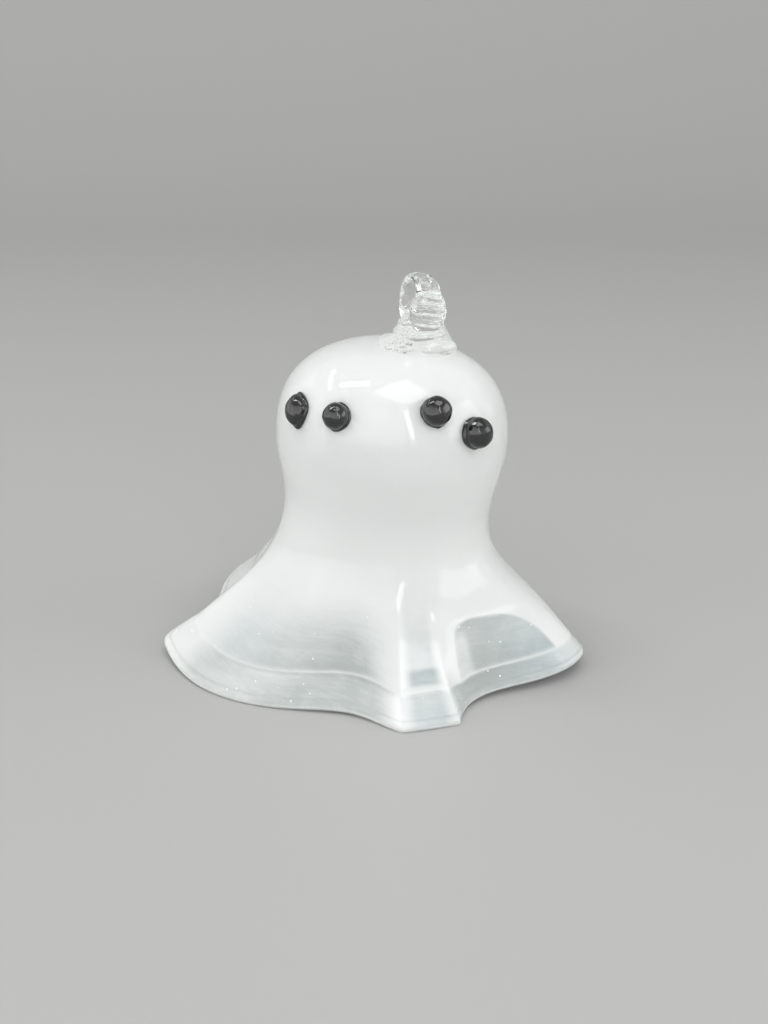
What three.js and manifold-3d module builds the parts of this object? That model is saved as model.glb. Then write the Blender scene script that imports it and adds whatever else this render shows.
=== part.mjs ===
// Hand-blown ghost in white opal glass, with a clear glass hanging loop on its crown and four black glass eyes.
// Millimetres, +Z up, front towards -Y. Angles round the ghost are in degrees from the front, positive
// towards +X. The ghost stands on the flattened low folds of its skirt.
import * as THREE from "three";
import { ParametricGeometry } from "three/addons/geometries/ParametricGeometry.js";
import { mergeVertices } from "three/addons/utils/BufferGeometryUtils.js";
import Module from "manifold-3d";

// Glass of the body, and the clearance at which the applied pieces sit on it and on each other
const wall = 2.4;
const seatGap = 0.3;

// Head: a full dome above its widest place, drawn in below that to the neck. The crown leans towards -X.
const headRadius = 34.1;
const headHeight = 65.6;
const domeRise = 27.7;
const domeFullness = 2.44;
const crownLean = 1.4;

// Neck: a little off the head's axis, and higher on the ghost's -X side
const neckRadius = 30.6;
const neckHeight = 43.4;
const neckTilt = 4.8;
const neckShift = 1.5;

// Skirt: a wall that drops from the neck to a crease, then a lip that flares to the edge. The lip is narrower
// on the ghost's +X side, between two angles.
const skirtRadius = 48.3;
const skirtLift = 1.0;
const lipLength = 10.6;
const narrowLipLength = 5.6;
const narrowLipFrom = 13.7;
const narrowLipTo = 160;
const narrowLipBlend = 11.4;
const lipSlope = 35;
const wallSlopeInHollow = 88;
const wallSlopeOnFold = 41;
const neckPull = 0.51;
const creasePull = 0.38;

// Folds of the skirt: the middle, half the width of the fold's flat face, and the rise over the skirt's lift. The
// pairs are for the fold's two sides, from -X to +X as seen from the front: how far the edge reaches past the
// skirt's radius at that end of the face, and how far the flank beyond spreads and how square its shoulder is.
// The lip has a slope of its own on each fold. A fold that reaches as far as a deep one has the gentle wall slope
// all the way. The low folds carry the ghost, and so does the long flank that leads from the first fold, whose
// own tip is held up by the raised fold behind it, to the front.
const lowFold = -1.4;
const deepFold = 14;
const folds = [
  { at: -79.7, face: 0, rise: -2.0, slope: 32, reach: [18.1, 18.1], spread: [10, 56], square: [2.3, 3] },
  { at: 10.1, face: 7.5, rise: lowFold, slope: 28, reach: [14.5, 13.1], spread: [11, 6], square: [1.33, 0.9] },
  { at: 68.8, face: 0, rise: 2.3, slope: 47, reach: [12.1, 12.1], spread: [24, 20], square: [2.4, 1.47] },
  { at: 134, face: 0, rise: lowFold, slope: 35, reach: [8.2, 8.2], spread: [18, 18], square: [2.4, 2.4] },
  { at: 180, face: 0, rise: lowFold, slope: 35, reach: [10.2, 10.2], spread: [18, 18], square: [2.4, 2.4] },
  { at: -139, face: 0, rise: 9.5, slope: 35, reach: [9.2, 9.2], spread: [22, 57], square: [2.4, 2.6] },
];
const frontFold = folds[1];

// Eyes: a pad of black glass spread on the head, and a rounder drop laid on it. The rise is over the head's
// widest place. Sizes are half widths across and up the head, and how far each stands out from its own middle,
// and the lift is how far the drop's middle lies above the head's glass.
const eyes = [
  { name: "left_outer_eye", angle: -54.5, rise: 12.5, pad: [4.2, 5.2, 1.8], drop: [3.8, 4.3, 3.0], lift: 0.9 },
  { name: "left_inner_eye", angle: -28.3, rise: 13.4, pad: [4.1, 4.4, 1.6], drop: [3.8, 3.8, 3.7], lift: 1.4 },
  { name: "right_inner_eye", angle: 22.3, rise: 14.8, pad: [4.3, 4.4, 1.8], drop: [4.3, 4.3, 3.9], lift: 1.6 },
  { name: "right_outer_eye", angle: 43.2, rise: 7.7, pad: [4.8, 4.6, 1.9], drop: [4.3, 4.4, 3.9], lift: 1.7 },
];

// Foot of the hanger: a flared gob of clear glass on the crown
const footX = 8.2;
const footY = 0;
const footWidth = 21;
const footDepth = 19.5;
const footNeckShare = 0.61;
const footRise = 6.5;
const footFlareHeight = 8;
const footFlare = 1.4;

// Loop of the hanger: a ribbon brought round in a ring, turned a little towards the front. Its eye is open
// across the ribbon, and the ribbon sinks into the foot.
const loopTurn = 20;
const eyeDepth = 8.8;
const eyeHeight = 7.6;
const ribbonSide = 3.1;
const ribbonTop = 2.6;
const ribbonBottom = 5.6;
const ribbonWidth = 6.0;
const ribbonFootWidth = 10.4;
const ribbonSquareness = 2.3;
const loopSink = 2.3;

// Tail of the hanger: the sheared end of the clear gather, pressed down in front of the foot
const tailFromFootX = -7.6;
const tailFromFootY = -4.6;
const tailTurn = -50;
const tailLength = 13;
const tailWidth = 8;
const tailRise = 3.6;

// Fineness of the faceted surfaces
const columns = 88;
const columnCrowding = 0.5;
const domeRings = 7;
const cheekRings = 4;
const wallRings = 8;
const lipRings = 2;
const edgeRings = 3;
const innerWallRings = 6;
const innerCheekRings = 3;
const innerDomeRings = 5;
const gobColumns = 20;
const gobRings = 10;
const footColumns = 28;
const footRings = 8;
const loopColumns = 32;
const ribbonSides = 14;

// Stations down the body's outline
const crown = 0;
const widest = 1;
const neckline = 2;
const crease = 3;
const edge = 4;

const glasses = {
  opal: { color: 0xe9eeec, roughness: 0.12, metalness: 0, transparent: true, opacity: 0.92 },
  clear: { color: 0xf4f8f7, roughness: 0.04, metalness: 0, transparent: true, opacity: 0.35 },
  black: { color: 0x0b0b0c, roughness: 0.06, metalness: 0 },
};

const wasm = await Module();
wasm.setup();

const { clamp, degToRad, radToDeg, lerp, smoothstep, euclideanModulo } = THREE.MathUtils;
const smallStep = 1e-3;
const mergeDistance = 1e-4;

function signedAngle(angle) {
  return euclideanModulo(angle + 180, 360) - 180;
}

// How far an angle lies into a fold, 1 on its face and falling to 0 on either side, and how far the edge
// reaches there.
function intoFold(fold, angle) {
  const off = signedAngle(angle - fold.at);
  const side = off < 0 ? 0 : 1;
  const beyond = Math.max(Math.abs(off) - fold.face, 0);
  const share = Math.exp(-((beyond / fold.spread[side]) ** fold.square[side]));
  const across = fold.face > 0 ? clamp(0.5 + off / (2 * fold.face), 0, 1) : side;
  return { share, reach: lerp(...fold.reach, across) };
}

// The skirt's edge at an angle: its reach from the axis, its height, the lip's slope, and how far it lies on a
// fold.
function skirtEdge(angle) {
  const at = { r: skirtRadius, z: skirtLift, slope: lipSlope, folded: 0 };
  for (const fold of folds) {
    const { share, reach } = intoFold(fold, angle);
    at.r += share * reach;
    at.z += share * fold.rise;
    at.slope += share * (fold.slope - lipSlope);
    at.folded += share * Math.min(1, reach / deepFold);
  }
  at.folded = Math.min(1, at.folded);
  return at;
}

function lipAt(angle) {
  const side = signedAngle(angle);
  const starts = smoothstep(side, narrowLipFrom, narrowLipFrom + narrowLipBlend);
  const ends = smoothstep(side, narrowLipTo - narrowLipBlend, narrowLipTo);
  return lerp(lipLength, narrowLipLength, starts * (1 - ends));
}

function neckAt(angle) {
  const side = Math.sin(degToRad(angle));
  return { r: neckRadius - neckShift * side, z: neckHeight - neckTilt * side };
}

function domeAt(angle, t) {
  const power = 2 / domeFullness;
  const up = Math.max(Math.cos((t * Math.PI) / 2), 0) ** power;
  const out = Math.sin((t * Math.PI) / 2) ** power;
  const lean = crownLean * up * out * Math.sin(degToRad(angle));
  return { r: headRadius * out, z: headHeight + domeRise * up - lean };
}

function cheekAt(angle, t) {
  const neck = neckAt(angle);
  const r = lerp(neck.r, headRadius, (1 + Math.cos(Math.PI * t)) / 2);
  return { r, z: lerp(headHeight, neck.z, t) };
}

// The lip, from the crease to where the rounded edge starts.
function lipEnds(angle) {
  const { r, z, ...at } = skirtEdge(angle);
  const slope = degToRad(at.slope);
  const lip = lipAt(angle);
  const end = { r: r - (wall / 2) * (1 - Math.sin(slope)), z: z + (wall / 2) * (1 + Math.cos(slope)) };
  return [{ r: end.r - lip * Math.cos(slope), z: end.z + lip * Math.sin(slope) }, end];
}

// The wall, which leaves the neck straight down and comes to the crease steeply in a hollow and gently on a fold.
function wallAt(angle, t) {
  const neck = neckAt(angle);
  const [foot] = lipEnds(angle);
  const arriving = degToRad(lerp(wallSlopeInHollow, wallSlopeOnFold, skirtEdge(angle).folded));
  const pull = creasePull * Math.hypot(foot.r - neck.r, foot.z - neck.z);
  const curve = new THREE.CubicBezierCurve(
    new THREE.Vector2(neck.r, neck.z),
    new THREE.Vector2(neck.r, lerp(neck.z, foot.z, neckPull)),
    new THREE.Vector2(foot.r - pull * Math.cos(arriving), foot.z + pull * Math.sin(arriving)),
    new THREE.Vector2(foot.r, foot.z),
  );
  const point = curve.getPoint(t);
  return { r: point.x, z: point.y };
}

// A point of the body's outer surface: the radius and height at an angle and a station.
function outline(angle, station) {
  if (station <= widest) return domeAt(angle, station);
  if (station <= neckline) return cheekAt(angle, station - widest);
  if (station <= crease) return wallAt(angle, station - neckline);
  const [start, end] = lipEnds(angle);
  return { r: lerp(start.r, end.r, station - crease), z: lerp(start.z, end.z, station - crease) };
}

function place(angle, { r, z }) {
  return new THREE.Vector3(r * Math.sin(degToRad(angle)), -r * Math.cos(degToRad(angle)), z);
}

// The surface at a point: the directions down it and out of it in the half plane, and how much longer the way
// through the glass is in that plane than square to the surface, which counts on a fold's steep side.
function surfaceAt(angle, station) {
  if (station === crown) return { down: { r: 1, z: 0 }, out: { r: 0, z: 1 }, way: 1 };
  const longestWay = 1.6;
  const before = outline(angle, station - smallStep);
  const after = outline(angle, Math.min(station + smallStep, edge));
  const length = Math.hypot(after.r - before.r, after.z - before.z);
  const down = { r: (after.r - before.r) / length, z: (after.z - before.z) / length };
  const out = { r: -down.z, z: down.r };
  const left = place(angle - smallStep, outline(angle - smallStep, station));
  const right = place(angle + smallStep, outline(angle + smallStep, station));
  const normal = right.sub(left).cross(place(angle, down)).normalize();
  return { down, out, way: Math.min(1 / Math.abs(normal.dot(place(angle, out))), longestWay) };
}

// A point at a depth under the body's outer surface, measured square to it.
function under(angle, station, depth) {
  const point = outline(angle, station);
  const { out, way } = surfaceAt(angle, station);
  return { r: Math.max(point.r - out.r * depth * way, 0), z: point.z - out.z * depth * way };
}

// A point on the rounded edge, from 0 on the outside to 1 on the inside.
function roundedEdge(angle, turned) {
  const { down, out, way } = surfaceAt(angle, edge);
  const middle = under(angle, edge, wall / 2);
  const across = (wall / 2) * way * Math.cos(Math.PI * turned);
  const along = (wall / 2) * way * Math.sin(Math.PI * turned);
  return { r: middle.r + out.r * across + down.r * along, z: middle.z + out.z * across + down.z * along };
}

function steps(from, to, count) {
  return Array.from({ length: count }, (_, index) => lerp(from, to, (index + 1) / count));
}

// A closed surface whose rings are given from the crown, each as a function of the angle. The columns crowd
// towards the narrow front fold, where the skirt turns most sharply.
function ringed(rings) {
  const last = rings.length - 1;
  const point = (u, v, target) => {
    const turn = 2 * Math.PI * (1 - u);
    const angle = radToDeg(turn - columnCrowding * Math.sin(turn - degToRad(frontFold.at)));
    target.copy(place(angle, rings[Math.round(v * last)](angle)));
  };
  return new ParametricGeometry(point, columns, last);
}

// A geometry as a solid, with shared vertices merged and the flat triangles of its poles left out.
function solid(geometry) {
  const bare = geometry.clone();
  bare.deleteAttribute("normal");
  bare.deleteAttribute("uv");
  const merged = mergeVertices(bare, mergeDistance);
  const corners = merged.index.array;
  const kept = [];
  for (let i = 0; i < corners.length; i += 3) {
    const [a, b, c] = corners.slice(i, i + 3);
    if (a !== b && b !== c && c !== a) kept.push(a, b, c);
  }
  return new wasm.Manifold(
    new wasm.Mesh({
      numProp: 3,
      vertProperties: new Float32Array(merged.attributes.position.array),
      triVerts: new Uint32Array(kept),
    }),
  );
}

// Cuts a placed mesh by geometries that are given in the body's frame.
function cut(mesh, ...others) {
  mesh.updateMatrix();
  const back = mesh.matrix.clone().invert();
  let left = solid(mesh.geometry);
  for (const other of others) left = left.subtract(solid(other.clone().applyMatrix4(back)));
  const { vertProperties, triVerts } = left.getMesh();
  mesh.geometry = new THREE.BufferGeometry();
  mesh.geometry.setAttribute("position", new THREE.BufferAttribute(vertProperties, 3));
  mesh.geometry.setIndex(new THREE.BufferAttribute(triVerts, 1));
  mesh.geometry.computeVertexNormals();
  return mesh;
}

function piece(name, glass, geometry) {
  const mesh = new THREE.Mesh(geometry, new THREE.MeshStandardMaterial(glasses[glass]));
  mesh.name = name;
  return mesh;
}

// A geometry moved from a mesh's own frame to the body's frame.
function placed(mesh, geometry) {
  mesh.updateMatrix();
  return geometry.applyMatrix4(mesh.matrix);
}

function ellipsoid(halves, grownBy = 0) {
  const [x, y, z] = halves.map((half) => half + grownBy);
  return new THREE.SphereGeometry(1, gobColumns, gobRings).scale(x, y, z);
}

// The first station down the head's outline where a test of the point holds.
function stationWhere(angle, test) {
  let station = crown;
  while (!test(outline(angle, station)) && station < neckline) station += smallStep;
  return station;
}

// Body: one blown shell, open below, with a fire-polished edge, its low folds flat where they stand.
function ghostBody() {
  const outside = [
    crown,
    ...steps(crown, widest, domeRings),
    ...steps(widest, neckline, cheekRings),
    ...steps(neckline, crease, wallRings),
    ...steps(crease, edge, lipRings),
  ];
  const inside = [
    ...steps(edge, crease, lipRings),
    ...steps(crease, neckline, innerWallRings),
    ...steps(neckline, widest, innerCheekRings),
    ...steps(widest, crown, innerDomeRings),
  ];
  const rings = [
    ...outside.map((station) => (angle) => outline(angle, station)),
    ...steps(0, 1, edgeRings).map((turned) => (angle) => roundedEdge(angle, turned)),
    ...inside.map((station) => (angle) => under(angle, station, wall)),
  ];
  const floorSize = 4 * skirtRadius;
  const floor = new THREE.BoxGeometry(floorSize, floorSize, floorSize).translate(0, 0, -floorSize / 2);
  return cut(piece("ghost_body", "opal", ringed(rings)), floor);
}

// The head's outside, grown by the seat gap: what every applied piece is cut by. It has the body's own rings.
function headBlank() {
  const stations = [
    crown,
    ...steps(crown, widest, domeRings),
    ...steps(widest, neckline, cheekRings),
  ];
  const rings = stations.map((station) => (angle) => under(angle, station, -seatGap));
  rings.push(() => ({ r: 0, z: neckHeight }));
  return ringed(rings);
}

// Turns an applied piece's own +Z out of the head and its +Y up the head.
function seatOnHead(object, angle, rise, lift) {
  const station = stationWhere(angle, ({ z }) => z <= headHeight + rise);
  const { down, out } = surfaceAt(angle, station);
  const outwards = place(angle, out);
  const upwards = place(angle, down).negate();
  const across = new THREE.Vector3().crossVectors(upwards, outwards);
  object.position.copy(place(angle, outline(angle, station))).addScaledVector(outwards, lift);
  object.setRotationFromMatrix(new THREE.Matrix4().makeBasis(across, upwards, outwards));
  return object;
}

function eyePieces({ name, angle, rise, pad, drop, lift }, blank) {
  const padMesh = seatOnHead(piece(`${name}_pad`, "black", ellipsoid(pad)), angle, rise, 0);
  const dropMesh = seatOnHead(piece(`${name}_drop`, "black", ellipsoid(drop)), angle, rise, lift);
  const padGrown = placed(padMesh, ellipsoid(pad, seatGap));
  return [cut(padMesh, blank), cut(dropMesh, padGrown, blank)];
}

// The loop's ribbon: u goes round the ring from its top, and v goes round the ribbon's section.
function ribbonRing(grownBy = 0) {
  const squared = (value) => Math.sign(value) * Math.abs(value) ** (2 / ribbonSquareness);
  const point = (u, v, target) => {
    const round = -2 * Math.PI * u;
    const section = 2 * Math.PI * v;
    const share = (1 - Math.cos(round)) / 2;
    const sideways = squared(Math.sin(round));
    const upwards = squared(Math.cos(round));
    const outerHeight = eyeHeight / 2 + lerp(ribbonTop, ribbonBottom, share);
    const inner = new THREE.Vector2((eyeDepth / 2) * sideways, (eyeHeight / 2) * upwards);
    const outer = new THREE.Vector2((eyeDepth / 2 + ribbonSide) * sideways, outerHeight * upwards);
    const half = outer.sub(inner).multiplyScalar(0.5);
    const middle = inner.add(half);
    half.setLength(half.length() + grownBy);
    middle.addScaledVector(half, squared(Math.cos(section)));
    const halfWidth = lerp(ribbonWidth, ribbonFootWidth, share) / 2 + grownBy;
    target.set(halfWidth * squared(Math.sin(section)), middle.x, middle.y);
  };
  return new ParametricGeometry(point, loopColumns, ribbonSides);
}

// The foot's turned shape, its top at height 0 and its flank going down into the head.
function footShape(grownBy = 0) {
  const buried = -2 * footFlareHeight;
  const flank = (t) => new THREE.Vector2(lerp(footNeckShare, 1, t ** footFlare), -t * footFlareHeight);
  const profile = [
    new THREE.Vector2(0, buried),
    new THREE.Vector2(1, buried),
    ...[1, ...steps(1, 0, footRings)].map(flank),
    new THREE.Vector2(0, 0),
  ];
  const turned = new THREE.LatheGeometry(profile, footColumns).rotateX(Math.PI / 2);
  return turned.scale(footWidth / 2 + grownBy, footDepth / 2 + grownBy, 1);
}

function hangerPieces(blank) {
  const footTop = headHeight + domeRise + footRise;
  const foot = piece("hanger_foot", "clear", footShape());
  foot.position.set(footX, footY, footTop);

  const loop = piece("hanger_loop", "clear", ribbonRing());
  loop.position.set(footX, footY, footTop - loopSink + ribbonBottom + eyeHeight / 2);
  loop.rotation.z = degToRad(loopTurn);

  const tail = piece("hanger_tail", "clear", ellipsoid([tailLength / 2, tailWidth / 2, tailRise]));
  const tailX = footX + tailFromFootX;
  const tailY = footY + tailFromFootY;
  const tailAngle = radToDeg(Math.atan2(tailX, -tailY));
  const station = stationWhere(tailAngle, ({ r }) => r >= Math.hypot(tailX, tailY));
  tail.position.set(tailX, tailY, outline(tailAngle, station).z);
  tail.rotation.z = degToRad(tailTurn);

  const loopGrown = placed(loop, ribbonRing(seatGap));
  const footGrown = placed(foot, footShape(seatGap));
  return [cut(foot, loopGrown, blank), loop, cut(tail, footGrown, blank)];
}

const ghost = new THREE.Group();
const blank = headBlank();
ghost.add(ghostBody(), ...hangerPieces(blank), ...eyes.flatMap((eye) => eyePieces(eye, blank)));

// The origin lies on the floor, under the middle of the ghost's outer size.
const middle = new THREE.Box3().setFromObject(ghost).getCenter(new THREE.Vector3());
ghost.position.set(-middle.x, -middle.y, 0);

export default ghost;
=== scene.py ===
"""Looks of a blown glass ghost: a milky opal shell, four black glass eyes and a clear hanging loop."""

from math import atan2, cos, degrees, exp, hypot, pi, radians, sin, tau

import bmesh
import bpy
from mathutils import Matrix, Vector, noise


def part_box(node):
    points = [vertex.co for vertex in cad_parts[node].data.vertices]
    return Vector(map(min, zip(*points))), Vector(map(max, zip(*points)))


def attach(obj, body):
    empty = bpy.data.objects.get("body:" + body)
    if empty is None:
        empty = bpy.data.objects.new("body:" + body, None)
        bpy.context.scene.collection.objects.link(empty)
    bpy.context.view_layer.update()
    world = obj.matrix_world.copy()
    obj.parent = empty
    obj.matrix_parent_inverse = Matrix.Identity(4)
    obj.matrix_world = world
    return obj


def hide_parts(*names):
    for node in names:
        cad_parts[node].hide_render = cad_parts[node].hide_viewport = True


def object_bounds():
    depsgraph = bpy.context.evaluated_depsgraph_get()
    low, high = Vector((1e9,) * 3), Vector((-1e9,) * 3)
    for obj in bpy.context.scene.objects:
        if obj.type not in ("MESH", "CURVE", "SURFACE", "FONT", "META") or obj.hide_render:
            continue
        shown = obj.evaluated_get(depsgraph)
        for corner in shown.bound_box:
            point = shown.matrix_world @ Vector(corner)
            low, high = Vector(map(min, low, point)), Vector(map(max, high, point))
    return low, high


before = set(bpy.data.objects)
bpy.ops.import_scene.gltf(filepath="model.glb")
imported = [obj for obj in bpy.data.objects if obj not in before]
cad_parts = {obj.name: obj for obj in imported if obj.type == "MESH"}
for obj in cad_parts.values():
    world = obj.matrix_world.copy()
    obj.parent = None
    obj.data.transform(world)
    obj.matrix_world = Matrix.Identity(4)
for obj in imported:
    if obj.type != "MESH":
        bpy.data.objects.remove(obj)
cad_low, cad_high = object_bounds()

# Sizes of the ghost, in millimetres, from its axis. Angles are in degrees from the front, positive to +X.

MM = 0.001

WALL = 2.4

# The head's widest place and the dome over it, which sinks towards +X. A fullness of 2 would be an ellipse.
HEAD_RADIUS = 34.1
HEAD_HEIGHT = 65.6
DOME_RISE = 27.7
DOME_FULLNESS = 2.44
CROWN_LEAN = 1.4

# The neck is lower and narrower towards +X.
NECK_RADIUS = 30.6
NECK_HEIGHT = 43.4
NECK_TILT = 4.8
NECK_SHIFT = 1.5

# The skirt's edge in its hollows, and the sloped lip along it, which is narrower on the side towards +X
SKIRT_RADIUS = 48.3
SKIRT_LIFT = 1.0
LIP = 10.6
NARROW_LIP = 5.6
NARROW_FROM, NARROW_TO, NARROW_BLEND = 13.7, 160, 11.4
LIP_SLOPE = 35

# How steeply the wall arrives at the crease in a hollow and on a fold, and how long it holds its way at the
# neck and at the crease
HOLLOW_SLOPE, FOLD_SLOPE = 88, 41
NECK_PULL, CREASE_PULL = 0.51, 0.38

# The reach at which a fold counts as a whole one, and the rise of the folds that carry the ghost
DEEP_FOLD = 14
LOW_FOLD = -1.4

# Folds of the skirt: the middle, half the width of the flat face, the rise and the lip's slope there. Then,
# each towards -X and towards +X: the reach, how far the flank spreads and how square its shoulder is.
FOLDS = [
    dict(at=-79.7, face=0, rise=-2.0, slope=32, reach=(18.1, 18.1), spread=(10, 56), square=(2.3, 3)),
    dict(at=10.1, face=7.5, rise=LOW_FOLD, slope=28, reach=(14.5, 13.1), spread=(11, 6), square=(1.33, 0.9)),
    dict(at=68.8, face=0, rise=2.3, slope=47, reach=(12.1, 12.1), spread=(24, 20), square=(2.4, 1.47)),
    dict(at=134, face=0, rise=LOW_FOLD, slope=35, reach=(8.2, 8.2), spread=(18, 18), square=(2.4, 2.4)),
    dict(at=180, face=0, rise=LOW_FOLD, slope=35, reach=(10.2, 10.2), spread=(18, 18), square=(2.4, 2.4)),
    dict(at=-139, face=0, rise=9.5, slope=35, reach=(9.2, 9.2), spread=(22, 57), square=(2.4, 2.6)),
]
FRONT_FOLD = FOLDS[1]

# Towards the neck the front fold loses its flat face and spreads out.
FADED_FOLDS = [dict(fold) for fold in FOLDS]
FADED_FOLDS[1].update(face=0, reach=(12.6, 12.6), spread=(16, 15), square=(2, 2))

# Stretches of the skirt by angle: from, to, and how softly each begins and ends
RIGHT_BOWL, LEFT_BOWL = (19, 66, 8), (-80, -2, 16)
CLEAR_LEFT, CLEAR_LEFT_LIP, MILKY_LEFT_LIP = (-78, 4, 22), (-74, 2, 14), (-150, -84, 20)

# The clear panel to the right of the front fold: its middle and half its width
PANEL_AT, PANEL_HALF = 42, 18.5

# The clear foot's middle, top and half sizes across and deep
FOOT_X = 8.2
FOOT_TOP = HEAD_HEIGHT + DOME_RISE + 6.5
FOOT_HALVES = (10.5, 9.75)

# The loop's turn, its eye's width and height, and how far it stands in the foot
LOOP_TURN = radians(20)
LOOP_EYE = (8.8, 7.6)
LOOP_SINK = 2.3

# How thick the ribbon is at the sides, top and bottom of the eye, and how wide at the top and at the foot
RIBBON_SIDE, RIBBON_TOP, RIBBON_BOTTOM = 3.1, 2.6, 5.6
RIBBON_WIDTH, RIBBON_FOOT = 6.0, 10.4

# The loop's box is centred on the foot's own middle, which places the ghost's axis in the frame.
loop_low, loop_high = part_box("hanger_loop")
AXIS = Vector(((loop_low.x + loop_high.x) / 2 / MM - FOOT_X, (loop_low.y + loop_high.y) / 2 / MM, 0))


def mix(a, b, share):
    return a + (b - a) * share


def smooth(value, low, high):
    share = min(max((value - low) / (high - low), 0), 1)
    return share * share * (3 - 2 * share)


def signed(angle):
    return (angle + 180) % 360 - 180


# The form of the shell


def skirt_edge(angle, folds):
    """The skirt's edge at an angle: its reach and height, the lip's slope, and how far it lies on a fold."""
    reach, height, slope, folded = SKIRT_RADIUS, SKIRT_LIFT, LIP_SLOPE, 0
    for fold in folds:
        off = signed(angle - fold["at"])
        side = 0 if off < 0 else 1
        beyond = max(abs(off) - fold["face"], 0)
        share = exp(-((beyond / fold["spread"][side]) ** fold["square"][side]))
        across = min(max(0.5 + off / (2 * fold["face"]), 0), 1) if fold["face"] else side
        out = mix(*fold["reach"], across)
        reach += share * out
        height += share * fold["rise"]
        slope += share * (fold["slope"] - LIP_SLOPE)
        folded += share * min(1, out / DEEP_FOLD)
    return reach, height, radians(slope), min(1, folded)


def lip_width(angle):
    side = signed(angle)
    starts = smooth(side, NARROW_FROM, NARROW_FROM + NARROW_BLEND)
    ends = smooth(side, NARROW_TO - NARROW_BLEND, NARROW_TO)
    return mix(LIP, NARROW_LIP, starts * (1 - ends))


def cubic(points, t):
    weights = ((1 - t) ** 3, 3 * t * (1 - t) ** 2, 3 * t * t * (1 - t), t**3)
    return [sum(w * p[k] for w, p in zip(weights, points)) for k in (0, 1)]


def between(value, low, high, soft):
    """1 between two values, falling to 0 over a soft margin inside each."""
    return smooth(value, low, low + soft) * (1 - smooth(value, high - soft, high))


class Meridian:
    """The shell's outline in the half plane at one angle."""

    def __init__(self, angle):
        self.angle = signed(angle)
        side = self.side = sin(radians(angle))
        self.neck = (NECK_RADIUS - NECK_SHIFT * side, NECK_HEIGHT - NECK_TILT * side)
        self.lip = lip_width(angle)
        self.curve, self.end, self.folded = self.wall(FOLDS)
        self.faded_curve = self.wall(FADED_FOLDS)[0]
        self.crease = self.curve[3]
        # The hollow to the right of the front fold starts sharply, and the one to its left softly.
        self.right_bowl = between(self.angle, *RIGHT_BOWL)
        self.left_bowl = between(self.angle, *LEFT_BOWL)

    def wall(self, folds):
        reach, height, slope, folded = skirt_edge(self.angle, folds)
        end = (reach - WALL / 2 * (1 - sin(slope)), height + WALL / 2 * (1 + cos(slope)))
        crease = (end[0] - self.lip * cos(slope), end[1] + self.lip * sin(slope))
        arriving = radians(mix(HOLLOW_SLOPE, FOLD_SLOPE, folded))
        pull = CREASE_PULL * hypot(crease[0] - self.neck[0], crease[1] - self.neck[1])
        below_neck = (self.neck[0], mix(self.neck[1], crease[1], NECK_PULL))
        above_crease = (crease[0] - pull * cos(arriving), crease[1] + pull * sin(arriving))
        return (self.neck, below_neck, above_crease, crease), end, folded

    def sunk(self, station):
        """How far the two front hollows sink below the smooth sweep of the wall."""
        right = 0.9 * self.right_bowl * between(station, 2.56, 3.02, 0.12)
        left = 0.5 * self.left_bowl * between(station, 2.36, 3.02, 0.25)
        return right + left

    def at(self, station):
        """Radius and height: 0 the crown, 1 the widest place, 2 the neck, 3 the crease, 4 the lip's end."""
        if station <= 1:
            turn = max(station, 0) * pi / 2
            out = sin(turn) ** (2 / DOME_FULLNESS)
            up = max(cos(turn), 0) ** (2 / DOME_FULLNESS)
            return HEAD_RADIUS * out, HEAD_HEIGHT + DOME_RISE * up - CROWN_LEAN * up * out * self.side
        if station <= 2:
            share = (1 + cos(pi * (station - 1))) / 2
            return mix(self.neck[0], HEAD_RADIUS, share), mix(HEAD_HEIGHT, self.neck[1], station - 1)
        if station <= 3:
            faded, sharp = (cubic(points, station - 2) for points in (self.faded_curve, self.curve))
            woken = smooth(station, mix(2.3, 2.5, self.right_bowl), mix(2.95, 2.8, self.right_bowl))
            return mix(faded[0], sharp[0], woken) - self.sunk(station), mix(faded[1], sharp[1], woken)
        t = station - 3
        return mix(self.crease[0], self.end[0], t) - self.sunk(station), mix(self.crease[1], self.end[1], t)


def place(angle, point):
    return Vector((point[0] * sin(radians(angle)), -point[0] * cos(radians(angle)), point[1]))


# How far apart two stations, or two angles in degrees, are taken to feel how the surface lies
STEP = 1e-3
BESIDE = 0.05

# Where the skirt slants, the way through the wall grows to this many times the wall at most.
LONGEST_WAY = 1.6


def surface_at(meridian, before, after, station):
    """Down and out in the half plane, and how much longer the way through the wall is there."""
    if station <= 0:
        return (1, 0), (0, 1), 1
    a, b = meridian.at(station - STEP), meridian.at(min(station + STEP, 4))
    length = hypot(b[0] - a[0], b[1] - a[1])
    down = ((b[0] - a[0]) / length, (b[1] - a[1]) / length)
    out = (-down[1], down[0])
    across = place(after.angle, after.at(station)) - place(before.angle, before.at(station))
    normal = across.cross(place(meridian.angle, down)).normalized()
    facing = abs(normal.dot(place(meridian.angle, out)))
    way = min(1 / max(facing, 0.5), LONGEST_WAY)
    return down, out, way


def shell_rows(head_rows, skirt_rows, edge_rows=10):
    """The rings of the shell as (station, depth under the outside in walls, how far round the edge)."""

    def run(low, high, count, crowd=1.0):
        """Stations after low up to high, crowding towards low for a crowd over 1 and towards high under 1."""
        steps = [(k + 1) / count for k in range(count)]
        return [mix(low, high, u**crowd if crowd >= 1 else 1 - (1 - u) ** (1 / crowd)) for u in steps]

    outside = [0] + run(0, 1, head_rows) + run(1, 2, head_rows // 2) + run(2, 3, skirt_rows, 0.72)
    outside += run(3, 4, skirt_rows // 2, 1.2)
    inside = run(4, 3, skirt_rows // 4) + run(3, 2, skirt_rows // 2) + run(2, 1, head_rows // 4)
    inside += run(1, 0, head_rows // 2)
    edge = run(0, 1, edge_rows)
    return [(s, 0, 0) for s in outside] + [(4, None, turned) for turned in edge] + [(s, 1, 1) for s in inside]


def bell(value, middle, width):
    return exp(-(((value - middle) / width) ** 2))


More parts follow.
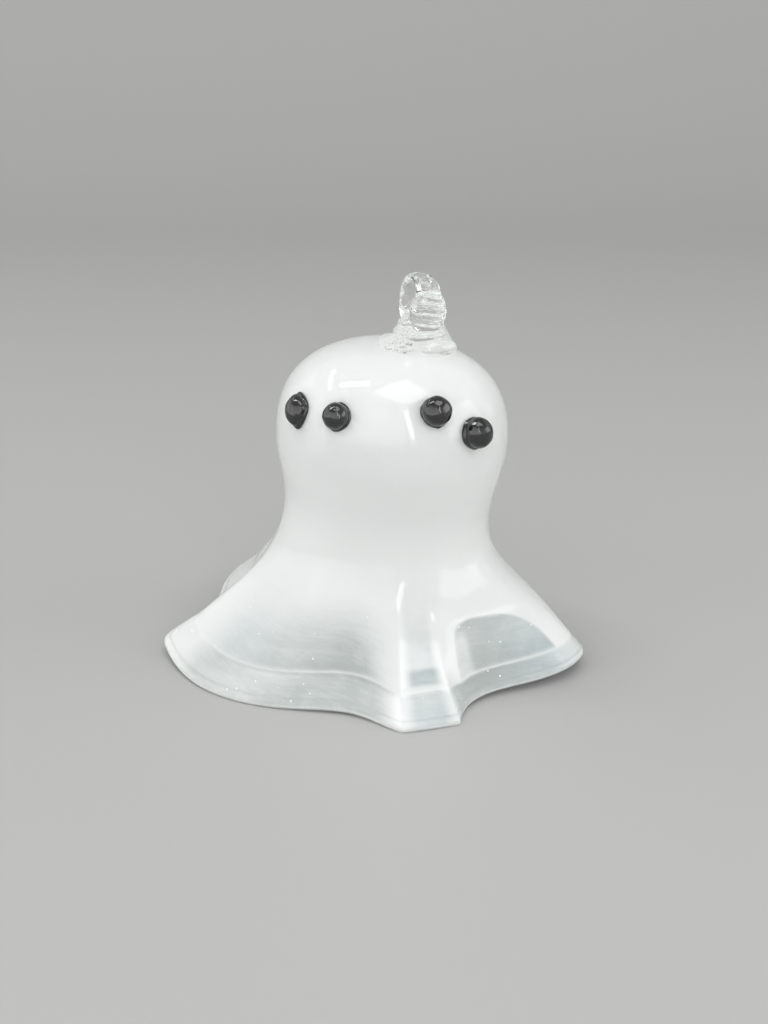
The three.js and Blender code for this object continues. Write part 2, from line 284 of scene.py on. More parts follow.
def waviness(point, station):
    """Blown glass is never quite true: slow swells on the head, and drawn-out ones across the skirt."""
    slow = noise.noise(point * 0.045 + Vector((3.1, 0, 7.7))) * 0.22
    fine = noise.noise(Vector((point.x * 0.05, point.y * 0.05, point.z * 0.16 + 11))) * 0.12
    return (slow + fine) * smooth(station, 0.1, 0.6)


# About how far it is along the wall from the neck to the crease
WALL_RUN = 40


def run_down(meridian, station):
    """About how far down the skirt a station lies from the neck, in millimetres."""
    return WALL_RUN * (min(station, 3) - 2) + meridian.lip * max(station - 3, 0)


def bead(meridian, station):
    """The thread of thicker glass along the crease, with a faint gutter under it."""
    past = run_down(meridian, station) - WALL_RUN
    return (0.24 * bell(past, 0, 0.55) - 0.12 * bell(past, 1.3, 0.6)) * mix(1, 0.35, meridian.folded)


def right_hollow(meridian, station):
    """1 inside the rounded panel to the right of the front fold, falling to 0 over its edge."""
    across = min(max((meridian.angle - PANEL_AT) / PANEL_HALF, -2), 2)
    up = max(3.0 - station, 0) / (0.41 - 0.07 * across)
    return smooth(1 - (abs(across) ** 3.2 + up**3.2), 0, 0.22)


def clearness_and_shade(meridian, station):
    """How thin and clear the glass is, from 0 to a little over 1, which also sets how much painted shade of
    the hollow behind shows there, and how cool it looks there.
    """
    side = meridian.angle
    hollow = 1 - meridian.folded
    left = between(side, *CLEAR_LEFT) * smooth(station, 2.36, 2.98) * mix(0.5, 1.2, smooth(side, -56, -14))
    facet = (1 - smooth(side, 29, 33)) * smooth(station, 2.66, 2.74)
    right = right_hollow(meridian, station) * mix(0.72, 0.8, smooth(station, 2.7, 2.95)) * (1 - 0.5 * facet)
    behind = smooth(abs(side), 80, 100) * hollow * smooth(station, 2.4, 2.9)
    on_face = between(side, FRONT_FOLD["at"] - 7, FRONT_FOLD["at"] + 7, 4)
    window = 0.8 * on_face * between(station, 2.82, 3.0, 0.06)
    # Painted shade that darkens the front fold's ridge.
    ridge_shade = 0.3 * on_face * smooth(station, 2.3, 2.75)
    wall = max(left, right, 0.25 * behind, window, ridge_shade)
    lip = max(0.04 + 1.06 * (1 - meridian.folded**2.5), 0.6 * between(side, *CLEAR_LEFT_LIP)) + 0.55 * on_face
    lip *= mix(1, 0.3, between(side, *MILKY_LEFT_LIP))
    # Wall and lip join at the crease, and a thin line of painted shade is added just inside the edge.
    clear = mix(wall, lip, smooth(station, 2.985, 3.03)) + 0.25 * bell(station, 3.86, 0.04)
    cool = max(bell(side, -60, 15) * bell(station, 2.82, 0.25), bell(side, 10, 7), 0.8 * bell(side, 58, 12))
    return clear, cool


def threads_and_highlights(meridian, station, turned):
    """Where the glass gathers into whiter lines, partly thicker glass and partly painted highlight: the edge,
    the crease and the front fold's corners.
    """
    off = abs(signed(meridian.angle - FRONT_FOLD["at"]))
    corner = bell(off, FRONT_FOLD["face"] + 0.3, 0.8) * smooth(station, 2.62, 2.85)
    crease = bell(run_down(meridian, station) - WALL_RUN, 0, 0.5) * mix(1, 0.45, meridian.folded)
    rim = 0.85 * bell(turned, 0.34, 0.11)
    return max(rim, 0.85 * crease, 0.2 * corner)


def draped(columns, rows, move, kept=()):
    """A grid drawn over a form: move gives each column and row its place and the values kept there."""
    form = bmesh.new()
    form.loops.layers.uv.new("lie")
    layers = [form.verts.layers.float.new(name) for name in kept]
    bmesh.ops.create_grid(form, x_segments=columns, y_segments=rows, size=0.5, calc_uvs=True)
    for vert in form.verts:
        vert.co, values = move(round((vert.co.x + 0.5) * columns), round((vert.co.y + 0.5) * rows))
        for layer, value in zip(layers, values):
            vert[layer] = value
    bmesh.ops.remove_doubles(form, verts=form.verts, dist=1e-7)
    bmesh.ops.recalc_face_normals(form, faces=form.faces)
    return form


def finished(name, form, glass, slot, *nodes):
    """Makes a shaped mesh a piece of the ghost, standing for its CAD nodes."""
    mesh = bpy.data.meshes.new(name)
    form.to_mesh(mesh)
    form.free()
    mesh.shade_smooth()
    mesh.materials.append(glass)
    piece = bpy.data.objects.new(name, mesh)
    bpy.context.scene.collection.objects.link(piece)
    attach(piece, "root")
    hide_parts(*nodes)
    return piece


def blow_shell(columns, head_rows, skirt_rows):
    rows = shell_rows(head_rows, skirt_rows)
    front = radians(FRONT_FOLD["at"])
    crowding = 0.6
    meridians = []
    for k in range(columns + 1):
        turn = tau * (k % columns) / columns
        angle = degrees(turn - crowding * sin(turn - front))
        meridians.append([Meridian(angle), Meridian(angle - BESIDE), Meridian(angle + BESIDE)])

    def move(column, row):
        meridian, before, after = meridians[column]
        station, depth, turned = rows[row]
        down, out, way = surface_at(meridian, before, after, station)
        r, z = meridian.at(station)
        swell = waviness(place(meridian.angle, (r, z)), station)
        if depth is None:
            middle = (r + out[0] * (swell - WALL / 2 * way), z + out[1] * (swell - WALL / 2 * way))
            across = WALL / 2 * way * cos(pi * turned)
            along = WALL / 2 * way * sin(pi * turned)
            r = middle[0] + out[0] * across + down[0] * along
            z = middle[1] + out[1] * across + down[1] * along
        else:
            under = swell + (1 - depth) * bead(meridian, station) - depth * WALL * way
            r, z = max(r + out[0] * under, 0), z + out[1] * under
        spot = (place(meridian.angle, (r, z)) + AXIS) * MM
        spot.x = min(max(spot.x, cad_low.x), cad_high.x)
        spot.y = min(max(spot.y, cad_low.y), cad_high.y)
        spot.z = max(spot.z, 0)
        clear, cool = clearness_and_shade(meridian, station)
        thread_light = threads_and_highlights(meridian, station, turned)
        return spot, (clear, cool, thread_light, run_down(meridian, station) * MM)

    return draped(columns, len(rows) - 1, move, ("clear", "cool", "thread_light", "fall"))


# Eyes: a pad of black glass spread on the head, and a rounder drop laid on it

# Each eye: angle, rise over the widest place, half sizes of pad and drop across, up and out, the drop's lift,
# how far pad and drop come to a point at the top and bottom, and how far both are turned in degrees
EYES = {
    "left_outer_eye": (-54.5, 12.5, (4.2, 5.4, 1.8), (3.8, 4.7, 3.0), 0.9, 0.55, 0.45, 23),
    "left_inner_eye": (-28.3, 13.4, (4.0, 4.2, 1.6), (3.8, 3.8, 3.7), 1.4, 0.1, 0, 0),
    "right_inner_eye": (22.3, 14.8, (4.3, 4.4, 1.8), (4.3, 4.3, 3.9), 1.6, 0.1, 0, 0),
    "right_outer_eye": (43.2, 7.7, (4.8, 4.6, 1.9), (4.3, 4.4, 3.9), 1.7, 0.1, 0, 0),
}

# The little point that a pad pulled out when its gather was cut off: its way across and up, and how far
NIBS = {"right_inner_eye": (0.0, -1.0, 0.06)}
NO_NIB = (0, -1, 0)

# The pads' unevenness is drawn from 0 on, one for each eye, and the drops' from here on.
FIRST_DROP_SEED = 7


def seat_on_head(angle, rise):
    """Where an eye sits, and the head's own directions there: across, up and out."""
    meridian = Meridian(angle)
    station = 0
    while meridian.at(station)[1] > HEAD_HEIGHT + rise:
        station += STEP
    a, b = meridian.at(station - STEP), meridian.at(station + STEP)
    down = place(angle, (b[0] - a[0], b[1] - a[1])).normalized()
    out = place(angle, (a[1] - b[1], b[0] - a[0])).normalized()
    up = -down
    across = up.cross(out)
    turn = Matrix((across, up, out)).transposed().to_4x4()
    return Matrix.Translation(place(angle, meridian.at(station))) @ turn


def gob(seat, halves, lift, pointed, seed, nib=NO_NIB):
    """A gob of soft glass let down on the head: a dome whose underside lies on the head."""
    form = bmesh.new()
    bmesh.ops.create_uvsphere(form, u_segments=72, v_segments=48, radius=1)
    sink = 0.12
    nib_way = Vector(nib[:2]).normalized()
    for vert in form.verts:
        x, y, z = vert.co
        narrow = 1 - pointed * abs(y) ** 2.2
        lump = 1 + 0.035 * noise.noise(vert.co * 1.5 + Vector((seed * 3.7, 0, 0)))
        lump += 0.012 * noise.noise(vert.co * 4.5 + Vector((0, seed * 2.3, 0)))
        lump += nib[2] * max(0, Vector((x, y)).dot(nib_way)) ** 40
        local = Vector((x * halves[0] * narrow * lump, y * halves[1] * lump, z * halves[2] * lump + lift))
        # The head falls away under the gob as a ball of its own radius would.
        floor = -(local.x**2 + local.y**2) / (2 * HEAD_RADIUS) - sink
        local.z = max(local.z, floor)
        vert.co = (seat @ local + AXIS) * MM
    return form


# Hanger: foot, ribbon loop and sheared tail, run together while hot


def stretched(point, halves):
    return Vector((point.x * halves[0], point.y * halves[1], point.z * halves[2]))


def on_foot(spot):
    """A place measured from the foot's middle and top, in the frame's metres."""
    return (spot + Vector((FOOT_X, 0, FOOT_TOP)) + AXIS) * MM


def power(value, share):
    return (1 if value >= 0 else -1) * abs(value) ** share


# Where the ribbon wrinkled as it was drawn down at the front: height over the loop's middle, depth and width
WRINKLES = [(4.6, 0.25, 0.5), (2.4, 0.30, 0.35), (0.4, 0.16, 0.4), (-2.5, 0.55, 0.45), (-4.3, 0.18, 0.35)]


def wrinkle(spot):
    """How far the front of the ribbon sinks at a place in the loop's own frame."""
    wander = 0.5 * noise.noise(Vector((spot.x * 0.35, 0, spot.z * 0.2)))
    depth = sum(deep * bell(spot.z + wander, at, wide) for at, deep, wide in WRINKLES)
    depth += 0.12 * noise.noise(Vector((spot.x * 0.5, 7, spot.z * 1.3)))
    return depth * smooth(-spot.y, 4.6, 6.8) * mix(1, 0.25, smooth(abs(spot.x), 1.5, 4.0))


def ribbon_loop():
    around, across = 180, 80
    square = 2 / 2.3
    middle_height = FOOT_TOP - LOOP_SINK + RIBBON_BOTTOM + LOOP_EYE[1] / 2
    turn = Matrix.Rotation(LOOP_TURN, 4, "Z")

    def move(column, row):
        ring = -tau * (column % around) / around
        section = tau * (row % across) / across
        share = (1 - cos(ring)) / 2
        side, up = power(sin(ring), square), power(cos(ring), square)
        inner = Vector((LOOP_EYE[0] / 2 * side, LOOP_EYE[1] / 2 * up))
        height = LOOP_EYE[1] / 2 + mix(RIBBON_TOP, RIBBON_BOTTOM, share)
        outer = Vector(((LOOP_EYE[0] / 2 + RIBBON_SIDE) * side, height * up))
        middle = (inner + outer) / 2 + (outer - inner) / 2 * cos(section)
        half = mix(RIBBON_WIDTH, RIBBON_FOOT, share) / 2
        spot = Vector((half * sin(section), middle.x, middle.y))
        spot.y += wrinkle(spot)
        return (turn @ spot + Vector((FOOT_X, 0, middle_height)) + AXIS) * MM, ()

    return draped(around, across, move)


def flared_foot():
    form = bmesh.new()
    steps = 24
    flare_height = 8
    buried = -13
    profile = [(0.0, 0.0)]
    profile += [(mix(0.61, 1.0, (k / steps) ** 1.4), -flare_height * k / steps) for k in range(steps + 1)]
    profile += [(1.0, buried), (0.0, buried)]
    verts = [form.verts.new((r, 0, z)) for r, z in profile]
    edges = [form.edges.new(pair) for pair in zip(verts, verts[1:])]
    bmesh.ops.spin(
        form, geom=verts + edges, cent=(0, 0, 0), axis=(0, 0, 1), angle=tau, steps=96, use_merge=True
    )
    bmesh.ops.remove_doubles(form, verts=form.verts, dist=1e-5)
    for vert in form.verts:
        angle = atan2(vert.co.x, -vert.co.y)
        uneven = 1 + 0.03 * sin(3 * angle + 1) + 0.02 * sin(5 * angle)
        spot = Vector((vert.co.x * FOOT_HALVES[0] * uneven, vert.co.y * FOOT_HALVES[1] * uneven, vert.co.z))
        vert.co = on_foot(spot)
    bmesh.ops.recalc_face_normals(form, faces=form.faces)
    return form


# The ripples across the front of the folded ribbon: their level, width and depth
RIPPLES = [(3.4, 0.5, 1), (1.9, 0.35, 0.6), (0.1, 0.5, 1), (-1.7, 0.4, 0.7), (-3.2, 0.5, 1)]


def lump(halves, turned, at, rippled=0.0):
    """A rounded lump of clear glass on the foot, with ripples drawn across its front."""
    form = bmesh.new()
    bmesh.ops.create_uvsphere(form, u_segments=72, v_segments=48, radius=1)
    turn = Matrix.Rotation(radians(turned), 4, "Z")
    for vert in form.verts:
        spot = stretched(vert.co, halves)
        level = spot.z + 0.16 * spot.x + 0.5 * noise.noise(Vector((spot.x * 0.4, 3, spot.z * 0.2)))
        ripples = sum(deep * bell(level, at_level, wide) for at_level, wide, deep in RIPPLES)
        spot.y += rippled * ripples * smooth(-spot.y, 0.3, 1.8)
        vert.co = on_foot(turn @ spot + Vector(at))
    return form


def collar():
    """The ring of glass that was squeezed up round the foot's neck under the folded ribbon."""
    form = bmesh.new()
    half_thick, ring_radius = 1.25, 6.5
    middle = Vector((FOOT_X - 0.4, -0.7, FOOT_TOP - 3.3))
    bmesh.ops.create_circle(form, segments=24, radius=half_thick)
    bmesh.ops.rotate(form, verts=form.verts, matrix=Matrix.Rotation(pi / 2, 3, "X"))
    bmesh.ops.translate(form, verts=form.verts, vec=(ring_radius, 0, 0))
    bmesh.ops.spin(
        form, geom=form.verts[:] + form.edges[:], cent=(0, 0, 0), axis=(0, 0, 1), angle=tau, steps=96,
        use_merge=True,
    )
    bmesh.ops.remove_doubles(form, verts=form.verts, dist=1e-5)
    bmesh.ops.recalc_face_normals(form, faces=form.faces)
    for vert in form.verts:
        vert.co = (vert.co + middle + AXIS) * MM
    return form


def spike():
    """The fine point left where the shears let go of the tail."""
    form = bmesh.new()
    length = 3.2
    at = (-10.7, 0.2, -5.7)
    bmesh.ops.create_cone(form, cap_ends=True, segments=24, radius1=0.75, radius2=0.05, depth=length)
    for vert in form.verts:
        lean = 0.12 * (vert.co.z + length / 2)
        vert.co = on_foot(vert.co + Vector((lean + at[0], at[1], at[2])))
    return form


def height_on_head(x, y):
    meridian = Meridian(degrees(atan2(x, -y)))
    reach = hypot(x, y)
    station = 0
    while meridian.at(station)[0] < reach and station < 2:
        station += STEP
    return meridian.at(station)[1]


def sheared_tail():
    """The spread end of the gather: smooth behind, crumpled where it was pressed down in front."""
    form = bmesh.new()
    bmesh.ops.create_uvsphere(form, u_segments=96, v_segments=64, radius=1)
    halves = (6.5, 4, 3.6)
    crumple = 0.85
    x, y = FOOT_X - 7.6, -4.6
    middle = Vector((x, y, height_on_head(x, y)))
    turn = Matrix.Rotation(radians(-50), 4, "Z")
    for vert in form.verts:
        spot = stretched(vert.co, halves)
        folds = abs(noise.noise(spot * 0.75)) + 0.6 * abs(noise.noise(spot * 1.5 + Vector((9, 0, 0))))
        spot *= 1 + crumple * smooth(spot.x, -1.0, 3.0) * (folds - 0.3) + 0.05 * noise.noise(spot * 0.4)
        vert.co = (turn @ spot + middle + AXIS) * MM
    return form


def hot_joined(parts, grain):
    """Runs several lumps of glass together: one skin over all of them, with the seams drawn smooth."""
    mesh = bpy.data.meshes.new("gather")
    whole = bmesh.new()
    for part in parts:
        part.to_mesh(mesh)
        part.free()
        whole.from_mesh(mesh)
    whole.to_mesh(mesh)
    whole.free()
    gather = bpy.data.objects.new("gather", mesh)
    bpy.context.scene.collection.objects.link(gather)
    skin = gather.modifiers.new("skin", "REMESH")
    skin.mode = "VOXEL"
    skin.voxel_size = grain
    soften = gather.modifiers.new("soften", "SMOOTH")
    soften.factor = 0.5
    soften.iterations = 4
    graph = bpy.context.evaluated_depsgraph_get()
    form = bmesh.new()
    form.from_object(gather, graph)
    bpy.data.objects.remove(gather)
    return form


# Materials


def new_group(name, inputs, outputs):
    """A group with plain numbers as inputs, and outputs of the kinds given."""
    group = bpy.data.node_groups.new(name, "ShaderNodeTree")
    for label, value in inputs.items():
        socket = group.interface.new_socket(label, in_out="INPUT", socket_type="NodeSocketFloat")
        socket.default_value = value
    for label, kind in outputs.items():
        group.interface.new_socket(label, in_out="OUTPUT", socket_type=kind)
    return group, group.nodes.new("NodeGroupInput"), group.nodes.new("NodeGroupOutput")


def math(tree, operation, *values):
    node = tree.nodes.new("ShaderNodeMath")
    node.operation = operation
    for socket, value in zip(node.inputs, values):
        if isinstance(value, (int, float)):
            socket.default_value = value
        else:
            tree.links.new(value, socket)
    return node.outputs[0]


def ranged(tree, value, low, high, to_low, to_high, kind="SMOOTHSTEP"):
    node = tree.nodes.new("ShaderNodeMapRange")
    node.interpolation_type = kind
    tree.links.new(value, node.inputs["Value"])
    for label, number in (("From Min", low), ("From Max", high), ("To Min", to_low), ("To Max", to_high)):
        node.inputs[label].default_value = number
    return node.outputs["Result"]


def noise_at(tree, vector, scale, detail=3.0, roughness=0.55, distortion=0.0):
    node = tree.nodes.new("ShaderNodeTexNoise")
    tree.links.new(vector, node.inputs["Vector"])
    node.inputs["Scale"].default_value = scale
    node.inputs["Detail"].default_value = detail
    node.inputs["Roughness"].default_value = roughness
    node.inputs["Distortion"].default_value = distortion
    return node.outputs["Fac"]


def colours(tree, factor, first, second):
    node = tree.nodes.new("ShaderNodeMix")
    node.data_type = "RGBA"
    tree.links.new(factor, node.inputs["Factor"])
    for socket, value in ((node.inputs["A"], first), (node.inputs["B"], second)):
        if isinstance(value, tuple):
            socket.default_value = (*value, 1)
        else:
            tree.links.new(value, socket)
    return node.outputs["Result"]


def make_fire_polish():
    """Slow ripples and faint smears that every hot-worked glass surface has."""
    inputs = {"Ripple Size": 90.0, "Ripple": 0.2, "Smear": 0.03}
    outputs = {"Normal": "NodeSocketVector", "Smear": "NodeSocketFloat"}
    group, given, made = new_group("fire_polish", inputs, outputs)
    spot = group.nodes.new("ShaderNodeTexCoord").outputs["Object"]
    ripple = group.nodes.new("ShaderNodeTexNoise")
    group.links.new(spot, ripple.inputs["Vector"])
    group.links.new(given.outputs["Ripple Size"], ripple.inputs["Scale"])
    ripple.inputs["Detail"].default_value = 1.5
    bump = group.nodes.new("ShaderNodeBump")
    bump.inputs["Distance"].default_value = 0.0006
    group.links.new(ripple.outputs["Fac"], bump.inputs["Height"])
    group.links.new(given.outputs["Ripple"], bump.inputs["Strength"])
    group.links.new(bump.outputs["Normal"], made.inputs["Normal"])
    smear = noise_at(group, spot, 160, 4, 0.6)
    group.links.new(math(group, "MULTIPLY", smear, given.outputs["Smear"]), made.inputs["Smear"])
    return group


def make_seeds():
    """Seeds: the odd tiny bubble caught in the glass."""
    inputs = {"Spacing": 130.0, "Size": 0.045, "Rarity": 0.9}
    group, given, made = new_group("seeds", inputs, {"Seed": "NodeSocketFloat"})
    spot = group.nodes.new("ShaderNodeTexCoord").outputs["Object"]
    cells = group.nodes.new("ShaderNodeTexVoronoi")
    group.links.new(spot, cells.inputs["Vector"])
    group.links.new(given.outputs["Spacing"], cells.inputs["Scale"])
    near = math(group, "LESS_THAN", cells.outputs["Distance"], given.outputs["Size"])
    parts = group.nodes.new("ShaderNodeSeparateColor")
    group.links.new(cells.outputs["Color"], parts.inputs[0])
    chosen = math(group, "GREATER_THAN", parts.outputs[0], given.outputs["Rarity"])
    group.links.new(math(group, "MULTIPLY", near, chosen), made.inputs["Seed"])
    return group


FIRE_POLISH = make_fire_polish()
SEEDS = make_seeds()


def new_glass(name, base, roughness, ior):
    """A glass with a plain colour and roughness, which the patterns linked to it take over."""
    glass = bpy.data.materials.new(name)
    glass.use_nodes = True
    shader = glass.node_tree.nodes["Principled BSDF"]
    shader.inputs["Base Color"].default_value = (*base, 1)
    shader.inputs["Roughness"].default_value = roughness
    shader.inputs["IOR"].default_value = ior
    return glass, glass.node_tree, shader


def add_group(tree, group, **values):
    node = tree.nodes.new("ShaderNodeGroup")
    node.node_tree = group
    for label, value in values.items():
        node.inputs[label.replace("_", " ")].default_value = value
    return node


def attribute(tree, name):
    node = tree.nodes.new("ShaderNodeAttribute")
    node.attribute_name = name
    return node.outputs["Fac"]


def opal_glass():
    """Milky glass that is thin, cool and streaky in the skirt's hollows, with painted shade there and painted
    light round the neck.
    """
    warm_milk, cool_milk = (0.79, 0.835, 0.805), (0.815, 0.845, 0.835)
    painted_neck_light, thread_highlight_milk, seed_milk = (0.90, 0.94, 0.915), (0.86, 0.89, 0.885), (0.93, 0.95, 0.94)
    thin_shade_grey, thin_shade_blue = (0.51, 0.55, 0.54), (0.53, 0.61, 0.63)
    glass, tree, shader = new_glass("opal_glass", (0.8, 0.84, 0.82), 0.05, 1.5)
    spot = tree.nodes.new("ShaderNodeTexCoord").outputs["Object"]
    clear, cool, thread_light, fall = (attribute(tree, name) for name in ("clear", "cool", "thread_light", "fall"))
    apart = tree.nodes.new("ShaderNodeSeparateXYZ")
    tree.links.new(spot, apart.inputs[0])

    def drawn_out(around, down, slant):
        """Coordinates for streaks: how fine they are around and down the skirt, and how far they slant."""
        lie = tree.nodes.new("ShaderNodeCombineXYZ")
        tree.links.new(math(tree, "MULTIPLY", apart.outputs["X"], around), lie.inputs["X"])
        tree.links.new(math(tree, "MULTIPLY", apart.outputs["Y"], around), lie.inputs["Y"])
        leaning = math(tree, "SUBTRACT", fall, math(tree, "MULTIPLY", apart.outputs["X"], slant))
        tree.links.new(math(tree, "MULTIPLY", leaning, down), lie.inputs["Z"])
        return lie.outputs[0]

    brushed = noise_at(tree, drawn_out(190, 1000, 0.28), 1, 3, 0.6, 0.4)
    layered = noise_at(tree, drawn_out(22, 480, 0), 1, 3, 0.5, 0.4)
    cloudy = noise_at(tree, spot, 45, 4, 0.6, 0.5)
    wisps = math(tree, "ADD", math(tree, "MULTIPLY", brushed, 0.5), math(tree, "MULTIPLY", layered, 0.5))
    streaks = ranged(tree, wisps, 0.36, 0.64, -0.5, 0.5)
    clouds = ranged(tree, cloudy, 0.35, 0.65, -0.5, 0.5)
    uneven = math(tree, "ADD", math(tree, "MULTIPLY", streaks, 0.24), math(tree, "MULTIPLY", clouds, 0.35))
    see_through_and_shade = math(tree, "MULTIPLY", clear, math(tree, "ADD", 1.0, uneven))
    see_through_and_shade = math(tree, "MULTIPLY", see_through_and_shade, math(tree, "SUBTRACT", 1.0, thread_light))
    seeds = add_group(tree, SEEDS, Spacing=320.0, Size=0.09, Rarity=0.5).outputs["Seed"]
    see_through_and_shade = math(tree, "MULTIPLY", see_through_and_shade, math(tree, "SUBTRACT", 1.0, seeds))
    milk = colours(tree, ranged(tree, cloudy, 0.3, 0.7, 0, 1), warm_milk, cool_milk)
    # Painted light: the milk is lighter round the neck, which would otherwise render darker than the head; it
    # lightens down the head and fades down the skirt.
    neck_lightening = ranged(tree, fall, -0.042, -0.020, 0, 1)
    neck_lightening_fades = ranged(tree, fall, 0.0, 0.016, 1, 0)
    milk = colours(tree, math(tree, "MULTIPLY", neck_lightening, neck_lightening_fades), milk, painted_neck_light)
    # Painted highlight, and partly whiter thicker glass: the threads take a lighter milk.
    milk_and_painted_highlight = colours(tree, math(tree, "MULTIPLY", thread_light, 0.6), milk, thread_highlight_milk)
    # Painted shade: where the glass is thin it takes a grey or bluish grey that stands for the dark hollow
    # behind it.
    tint = colours(tree, see_through_and_shade, milk_and_painted_highlight, colours(tree, cool, thin_shade_grey, thin_shade_blue))
    tint = colours(tree, math(tree, "MULTIPLY", seeds, clear), tint, seed_milk)
    tree.links.new(tint, shader.inputs["Base Color"])
    tree.links.new(ranged(tree, see_through_and_shade, 0.0, 1.3, 1.0, 0.68, "LINEAR"), shader.inputs["Alpha"])
    polish = add_group(tree, FIRE_POLISH, Ripple_Size=70.0, Ripple=0.12, Smear=0.04)
    tree.links.new(polish.outputs["Normal"], shader.inputs["Normal"])
    # Thin glass is a little matt, and so is the lip.
    matt_lip = ranged(tree, fall, 0.036, 0.042, 0, 0.25)
    scuffed = math(tree, "MAXIMUM", math(tree, "MULTIPLY", clear, 0.3), matt_lip)
    tree.links.new(math(tree, "ADD", scuffed, polish.outputs["Smear"]), shader.inputs["Roughness"])
    shader.inputs["Subsurface Weight"].default_value = 0.8
    shader.inputs["Subsurface Radius"].default_value = (1.0, 1.0, 1.0)
    shader.inputs["Subsurface Scale"].default_value = 0.010
    return glass


def black_glass():
    """Deep black glass for the eyes, a shade lighter in places."""
    deep_ink, light_ink = (0.003, 0.003, 0.0035), (0.009, 0.009, 0.010)
    glass, tree, shader = new_glass("black_glass", (0.006, 0.006, 0.007), 0.04, 1.7)
    polish = add_group(tree, FIRE_POLISH, Ripple_Size=330.0, Ripple=0.5, Smear=0.16)
    tree.links.new(polish.outputs["Normal"], shader.inputs["Normal"])
    tree.links.new(math(tree, "ADD", 0.02, polish.outputs["Smear"]), shader.inputs["Roughness"])
    spot = tree.nodes.new("ShaderNodeTexCoord").outputs["Object"]
    depth = noise_at(tree, spot, 260, 3, 0.6)
    ink = colours(tree, ranged(tree, depth, 0.3, 0.7, 0, 1), deep_ink, light_ink)
    tree.links.new(ink, shader.inputs["Base Color"])
    return glass


def clear_glass():
    """Water-clear glass, which lets lamp light and soft light through to the opal under it."""
    water_clear, bubble_grey = (0.985, 0.995, 0.99), (0.85, 0.87, 0.86)
    glass, tree, shader = new_glass("clear_glass", water_clear, 0.01, 1.54)
    shader.inputs["Transmission Weight"].default_value = 1.0
    polish = add_group(tree, FIRE_POLISH, Ripple_Size=300.0, Ripple=0.8, Smear=0.02)
    tree.links.new(polish.outputs["Normal"], shader.inputs["Normal"])
    tree.links.new(polish.outputs["Smear"], shader.inputs["Roughness"])
    seeds = add_group(tree, SEEDS, Spacing=420.0, Size=0.12, Rarity=0.86)
    tint = colours(tree, seeds.outputs["Seed"], water_clear, bubble_grey)
    tree.links.new(tint, shader.inputs["Base Color"])
    path = tree.nodes.new("ShaderNodeLightPath")
    soft_rays = math(tree, "MAXIMUM", path.outputs["Is Shadow Ray"], path.outputs["Is Diffuse Ray"])
    open_way = tree.nodes.new("ShaderNodeBsdfTransparent")
    open_way.inputs["Color"].default_value = (0.96, 0.97, 0.965, 1)
    either = tree.nodes.new("ShaderNodeMixShader")
    tree.links.new(soft_rays, either.inputs[0])
    tree.links.new(shader.outputs[0], either.inputs[1])
    tree.links.new(open_way.outputs[0], either.inputs[2])
    tree.links.new(either.outputs[0], tree.nodes["Material Output"].inputs["Surface"])
    return glass


OPAL, BLACK, CLEAR = opal_glass(), black_glass(), clear_glass()

shell = blow_shell(columns=320, head_rows=48, skirt_rows=64)
finished("ghost_shell", shell, OPAL, "opal_glass", "ghost_body")

for order, (name, (angle, rise, pad, drop, lift, pad_point, drop_point, twist)) in enumerate(EYES.items()):
    seat = seat_on_head(angle, rise) @ Matrix.Rotation(radians(twist), 4, "Z")
    spread = gob(seat, pad, 0, pad_point, order, NIBS.get(name, NO_NIB))
    finished(f"{name}_spread_pad", spread, BLACK, "black_glass", f"{name}_pad")
    round_drop = gob(seat, drop, lift, drop_point, order + FIRST_DROP_SEED)
    finished(f"{name}_round_drop", round_drop, BLACK, "black_glass", f"{name}_drop")

folded_end = lump(halves=(5.6, 3.3, 6.6), turned=degrees(LOOP_TURN), at=(1.9, -4.8, 3.4), rippled=0.75)
front_bulge = lump(halves=(6.0, 2.6, 2.5), turned=32, at=(5.0, -6.2, -6.9))
gather = [ribbon_loop(), flared_foot(), collar(), folded_end, front_bulge, sheared_tail(), spike()]
hanger = hot_joined(gather, grain=0.2 * MM)
finished("hanger", hanger, CLEAR, "clear_glass", "hanger_foot", "hanger_loop", "hanger_tail")

# Floor, light and camera


def sweep():
    """A pale sheet that lies under the ghost and turns up behind it."""
    form = bmesh.new()
    bmesh.ops.create_grid(form, x_segments=2, y_segments=80, size=2.0)
    start, radius = 0.7, 0.6
    for vert in form.verts:
        run = vert.co.y - start
        if run > 0:
            turn = min(run / radius, pi / 2)
            rest = max(run - radius * pi / 2, 0)
            vert.co = (vert.co.x, start + radius * sin(turn), radius * (1 - cos(turn)) + rest)
    mesh = bpy.data.meshes.new("sweep")
    form.to_mesh(mesh)
    form.free()
    mesh.shade_smooth()
    paper = bpy.data.materials.new("pale_paper")
    paper.use_nodes = True
    shader = paper.node_tree.nodes["Principled BSDF"]
    shader.inputs["Base Color"].default_value = (0.43, 0.43, 0.425, 1)
    shader.inputs["Roughness"].default_value = 0.45
    mesh.materials.append(paper)
    sheet = bpy.data.objects.new("sweep", mesh)
    bpy.context.scene.collection.objects.link(sheet)


LAMPS_AIM = Vector((0, 0, 0.06))


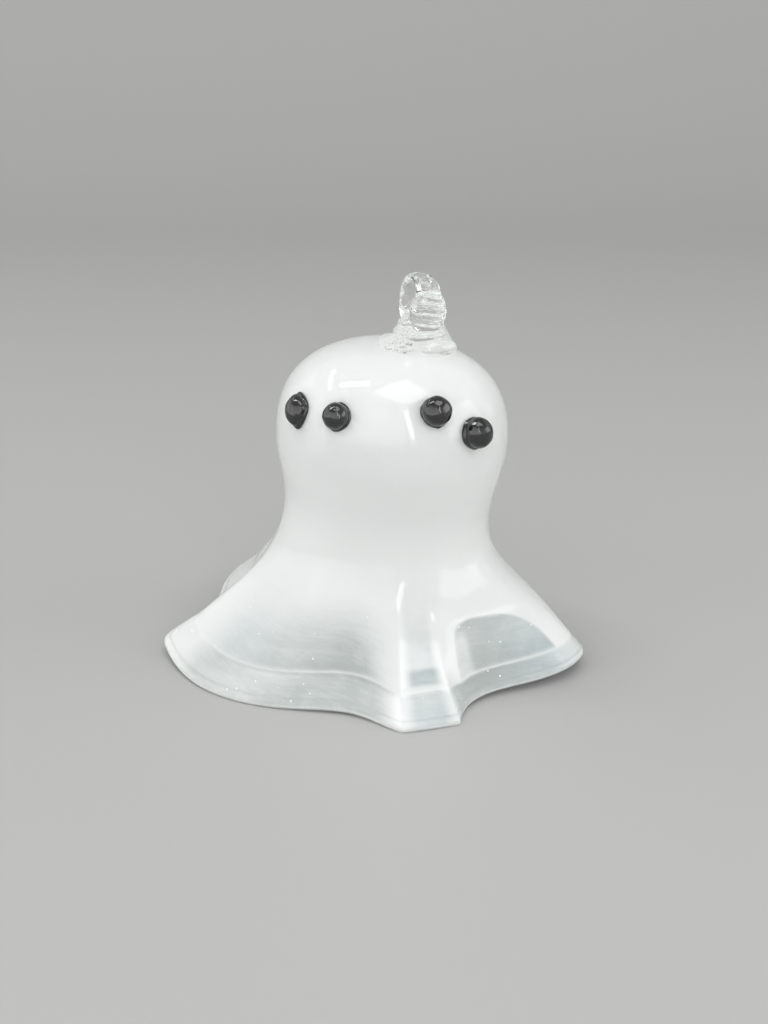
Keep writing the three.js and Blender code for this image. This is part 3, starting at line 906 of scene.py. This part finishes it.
def softbox(name, azimuth, elevation, distance, size, watts):
    """A soft lamp that looks at the ghost: degrees from the front and over the floor, metres and watts."""
    light = bpy.data.lights.new(name, "AREA")
    light.shape = "RECTANGLE"
    light.size, light.size_y = size
    light.energy = watts
    lamp = bpy.data.objects.new(name, light)
    a, e = radians(azimuth), radians(elevation)
    back = Vector((sin(a) * cos(e), -cos(a) * cos(e), sin(e)))
    lamp.location = LAMPS_AIM + back * distance
    lamp.rotation_euler = back.to_track_quat("Z", "Y").to_euler()
    bpy.context.scene.collection.objects.link(lamp)


sweep()
softbox("left_softbox", -104, 67, 0.9, (0.12, 0.34), 1.2)
softbox("left_strip", -121, 49, 0.9, (0.44, 0.05), 0.25)
softbox("top_softbox", 48, 75, 0.9, (0.52, 0.50), 1.9)
softbox("front_strip", 20, 28, 1.0, (0.09, 0.75), 1.0)
softbox("front_fill", -30, 18, 1.3, (2.4, 1.6), 9.5)
softbox("left_wall", -100, 12, 1.3, (1.8, 1.2), 3.2)
softbox("right_window", 80, 19, 1.1, (0.9, 0.6), 2.9)

# The room's walls are lighter than its ceiling.
world = bpy.data.worlds.new("room")
bpy.context.scene.world = world
world.use_nodes = True
around = world.node_tree.nodes.new("ShaderNodeTexCoord")
parts = world.node_tree.nodes.new("ShaderNodeSeparateXYZ")
world.node_tree.links.new(around.outputs["Generated"], parts.inputs[0])
upward = ranged(world.node_tree, parts.outputs["Z"], 0.15, 0.95, 0, 1)
room = colours(world.node_tree, upward, (1.0, 1.0, 1.0), (0.45, 0.45, 0.45))
world.node_tree.links.new(room, world.node_tree.nodes["Background"].inputs["Color"])

# The camera's place and aim, and its focal length and the photo's height in the photo's pixels
VIEW_SIDE, VIEW_BACK, VIEW_HEIGHT = -2.35, -452.7, 206.4
AIM_HEIGHT = 40.9
FOCAL_LENGTH, PHOTO_HEIGHT = 1607, 1024
SENSOR = 36

camera_data = bpy.data.cameras.new("camera")
camera_data.sensor_width = SENSOR
camera_data.lens = FOCAL_LENGTH / PHOTO_HEIGHT * SENSOR
camera_data.clip_start = 0.01
camera = bpy.data.objects.new("camera", camera_data)
eye_point = (Vector((VIEW_SIDE, VIEW_BACK, VIEW_HEIGHT)) + AXIS) * MM
look_at = (Vector((VIEW_SIDE, 0, AIM_HEIGHT)) + AXIS) * MM
camera.location = eye_point
camera.rotation_euler = (look_at - eye_point).to_track_quat("-Z", "Y").to_euler()
bpy.context.scene.collection.objects.link(camera)
bpy.context.scene.camera = camera

bpy.context.scene.view_settings.view_transform = "Standard"
